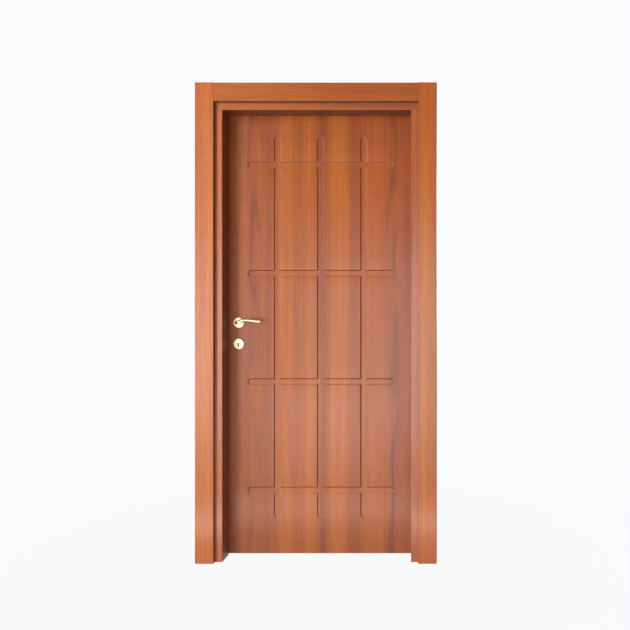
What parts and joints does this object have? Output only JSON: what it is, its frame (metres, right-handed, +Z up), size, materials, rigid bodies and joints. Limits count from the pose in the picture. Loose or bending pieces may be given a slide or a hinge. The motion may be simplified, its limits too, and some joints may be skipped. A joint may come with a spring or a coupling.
{
  "type": "entrance door",
  "caption": "Single-leaf door with crossing routed grooves, hung on butt hinges in a rebated lining with flat casings, with lever handles and a lock.",
  "frame": {"origin": "on the outer face of the hinge-side jamb, at floor level and half way through the jamb's depth", "axes": "+Z up, +X along the wall from the lock side to the hinge side and out of the hinge jamb, +Y through the wall, away from the side that the door is pushed from"},
  "size_m": [1.058, 0.213, 2.103],
  "materials": {
    "casing_foil": "satin",
    "jamb_foil": "satin",
    "leaf_foil": "satin",
    "core_wood": "matte",
    "hinge_brass": "polished",
    "handle_brass": "polished",
    "lock_steel": "brushed",
    "seal_rubber": "matte"
  },
  "bodies": {
    "frame": {"left_jamb": "jamb_foil", "right_jamb": "jamb_foil", "head_jamb": "jamb_foil", "front_left_casing": "casing_foil", "front_right_casing": "casing_foil", "front_head_casing": "casing_foil", "back_left_casing": "casing_foil", "back_right_casing": "casing_foil", "back_head_casing": "casing_foil", "left_seal": "seal_rubber", "right_seal": "seal_rubber", "head_seal": "seal_rubber", "strike_plate": "lock_steel", "upper_frame_hinge": "hinge_brass", "middle_frame_hinge": "hinge_brass", "lower_frame_hinge": "hinge_brass", "upper_pin": "hinge_brass", "middle_pin": "hinge_brass", "lower_pin": "hinge_brass"},
    "leaf": {"front_skin": "leaf_foil", "back_skin": "leaf_foil", "lock_stile": "core_wood", "hinge_stile": "core_wood", "top_rail": "core_wood", "bottom_rail": "core_wood", "lock_case": "lock_steel", "lock_faceplate": "lock_steel", "latch_bolt": "lock_steel", "dead_bolt": "lock_steel", "front_rose": "handle_brass", "back_rose": "handle_brass", "front_key_rose": "handle_brass", "back_key_rose": "handle_brass", "upper_leaf_hinge": "hinge_brass", "middle_leaf_hinge": "hinge_brass", "lower_leaf_hinge": "hinge_brass"},
    "handle": {"front_lever": "handle_brass", "back_lever": "handle_brass", "spindle": "lock_steel"}
  },
  "joints": [
    {"name": "leaf_swing", "type": "hinge", "parent": "frame", "child": "leaf", "pos_m": [-0.0325, 0.075, 0], "axis": [0, 0, -1], "range_deg": [0, 120]},
    {"name": "lever_turn", "type": "hinge", "parent": "leaf", "child": "handle", "pos_m": [-0.83, 0.047, 1.052], "axis": [0, 1, 0], "range_deg": [0, 42], "stiffness_Nm_per_rad": 1.2, "springref_deg": -28.65}
  ]
}
